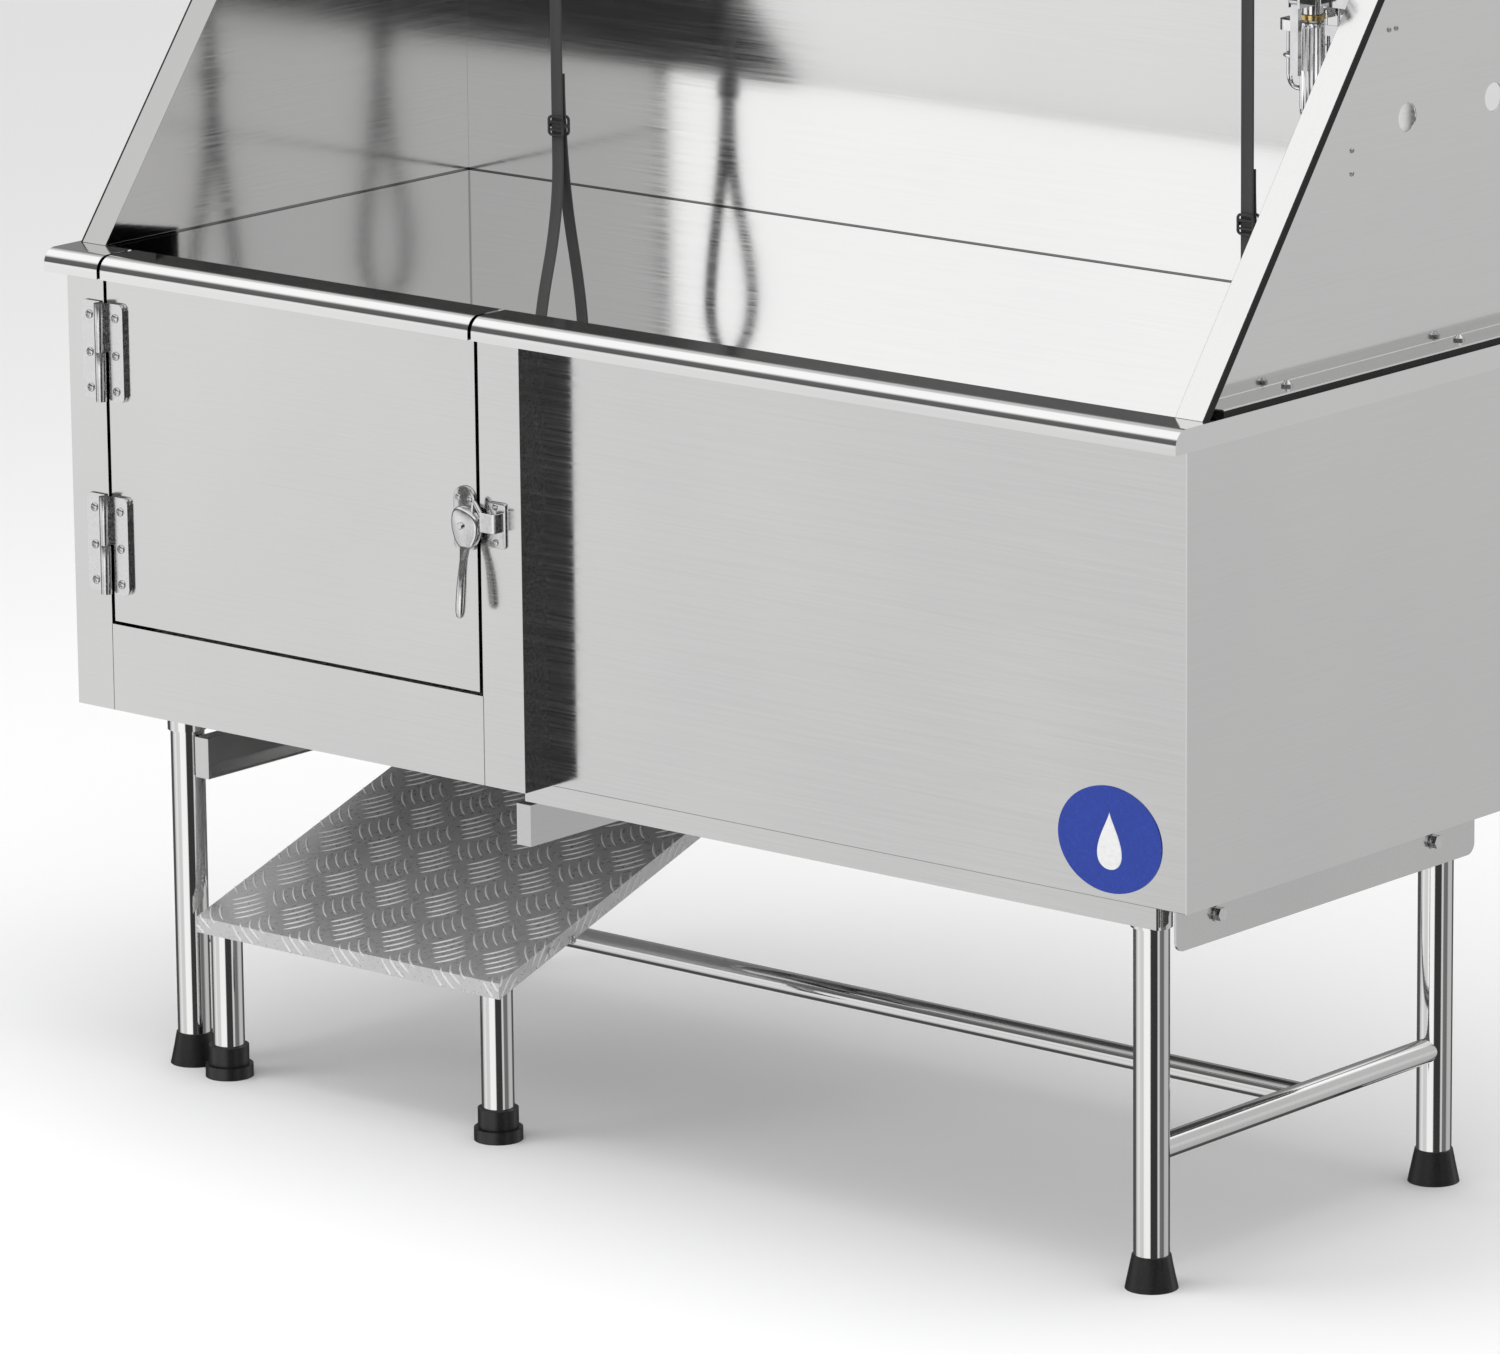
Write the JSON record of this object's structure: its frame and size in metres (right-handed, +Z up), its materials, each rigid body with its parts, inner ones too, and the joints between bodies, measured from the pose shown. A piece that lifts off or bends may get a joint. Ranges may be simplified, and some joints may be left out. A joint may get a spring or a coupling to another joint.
{
  "type": "pet bathtub",
  "caption": "Stainless steel walk-in pet grooming tub on legs with a latched front door, pull-out ramp, splash guards and restraint loops.",
  "frame": {"origin": "on the floor, under the middle of the tub's overall box", "axes": "+X towards the tub's right end seen from the front, -Y towards the door side, +Z up"},
  "size_m": [1.575, 0.709, 1.473],
  "materials": {
    "brushed_steel": "brushed",
    "polished_steel": "polished",
    "hardware_steel": "satin",
    "tread_plate": "five-bar tread",
    "black_rubber": "matte",
    "black_plastic": "satin",
    "black_webbing": "woven",
    "brass": "polished",
    "badge_blue": "gloss"
  },
  "bodies": {
    "tub": {"apron_bolts": "hardware_steel", "aprons": "brushed_steel", "badge": "badge_blue", "bar_flanges": "polished_steel", "basin_floor": "brushed_steel", "basin_walls": "brushed_steel", "door_frame": "brushed_steel", "drain_strainer": "brushed_steel", "drain_tailpipe": "black_plastic", "floor_grates": "polished_steel", "frame_screws": "hardware_steel", "front_panel": "brushed_steel", "hinge_lower_frame_leaf": "hardware_steel", "hinge_pins": "hardware_steel", "hinge_upper_frame_leaf": "hardware_steel", "latch_keeper": "hardware_steel", "leg_feet": "black_rubber", "leg_sockets": "polished_steel", "legs": "polished_steel", "ramp_rail_left": "polished_steel", "ramp_rail_right": "polished_steel", "restraint_bar": "polished_steel", "rim_front_left": "polished_steel", "rim_front_right": "polished_steel", "rim_sides": "polished_steel", "side_panels": "brushed_steel", "splash_back": "brushed_steel", "splash_bolts": "hardware_steel", "splash_left": "brushed_steel", "splash_right": "brushed_steel", "splash_seals": "black_rubber", "sprayer_bracket": "polished_steel", "stretcher_frame": "polished_steel", "underpan": "brushed_steel", "wire_basket": "polished_steel"},
    "door": {"door_outer_panel": "brushed_steel", "door_inner_panel": "brushed_steel", "door_rim": "polished_steel", "door_gasket": "black_rubber", "hinge_upper_door_leaf": "hardware_steel", "hinge_lower_door_leaf": "hardware_steel", "door_screws": "hardware_steel", "latch_base": "hardware_steel"},
    "lever": {"latch_lever": "hardware_steel"},
    "ramp": {"ramp_plate": "tread_plate", "ramp_legs": "polished_steel", "ramp_feet": "black_rubber", "ramp_axle_bolts": "hardware_steel"},
    "roller_left": {"ramp_roller_left": "black_plastic"},
    "roller_right": {"ramp_roller_right": "black_plastic"},
    "sprayer": {"sprayer_grip": "polished_steel", "sprayer_collars": "brass", "sprayer_head": "polished_steel"},
    "trigger": {"sprayer_trigger": "polished_steel"},
    "loop_left": {"strap_ring_left": "polished_steel", "strap_left": "black_webbing"},
    "adjuster_left": {"strap_slider_left": "black_plastic"},
    "loop_right": {"strap_ring_right": "polished_steel", "strap_right": "black_webbing"},
    "adjuster_right": {"strap_slider_right": "black_plastic"}
  },
  "joints": [
    {"name": "door_swing", "type": "hinge", "parent": "tub", "child": "door", "pos_m": [-0.7045, -0.3315, 0.65], "axis": [0, 0, -1], "range_deg": [0, 125]},
    {"name": "latch_turn", "type": "hinge", "parent": "door", "child": "lever", "pos_m": [-0.168, -0.334, 0.706], "axis": [0, 1, 0], "range_deg": [0, 75]},
    {"name": "ramp_slide", "type": "slide", "parent": "tub", "child": "ramp", "axis": [0, -1, 0], "range_m": [0, 0.455]},
    {"name": "roller_left_spin", "type": "hinge", "parent": "ramp", "child": "roller_left", "pos_m": [-0.65, 0.2395, 0.3573], "axis": [1, 0, 0], "continuous": true},
    {"name": "roller_right_spin", "type": "hinge", "parent": "ramp", "child": "roller_right", "pos_m": [-0.17, 0.2395, 0.3573], "axis": [1, 0, 0], "continuous": true},
    {"name": "sprayer_pull", "type": "slide", "parent": "tub", "child": "sprayer", "axis": [0, -1, 0], "range_m": [0, 0.05]},
    {"name": "sprayer_squeeze", "type": "hinge", "parent": "sprayer", "child": "trigger", "pos_m": [0.69, -0.0075, 1.312], "axis": [1, 0, 0], "range_deg": [0, 8], "stiffness_Nm_per_rad": 1},
    {"name": "loop_left_slide", "type": "slide", "parent": "tub", "child": "loop_left", "axis": [1, 0, 0], "range_m": [-0.2, 0.2]},
    {"name": "adjuster_left_slide", "type": "slide", "parent": "loop_left", "child": "adjuster_left", "axis": [0, 0, 1], "range_m": [0, 0.05]},
    {"name": "loop_right_slide", "type": "slide", "parent": "tub", "child": "loop_right", "axis": [1, 0, 0], "range_m": [-0.2, 0.085]},
    {"name": "adjuster_right_slide", "type": "slide", "parent": "loop_right", "child": "adjuster_right", "axis": [0, 0, 1], "range_m": [0, 0.05]}
  ],
  "couplings": [
    {"joint": "roller_left_spin", "follows": "ramp_slide", "rad_per_m": 52.63},
    {"joint": "roller_right_spin", "follows": "ramp_slide", "rad_per_m": 52.63}
  ]
}
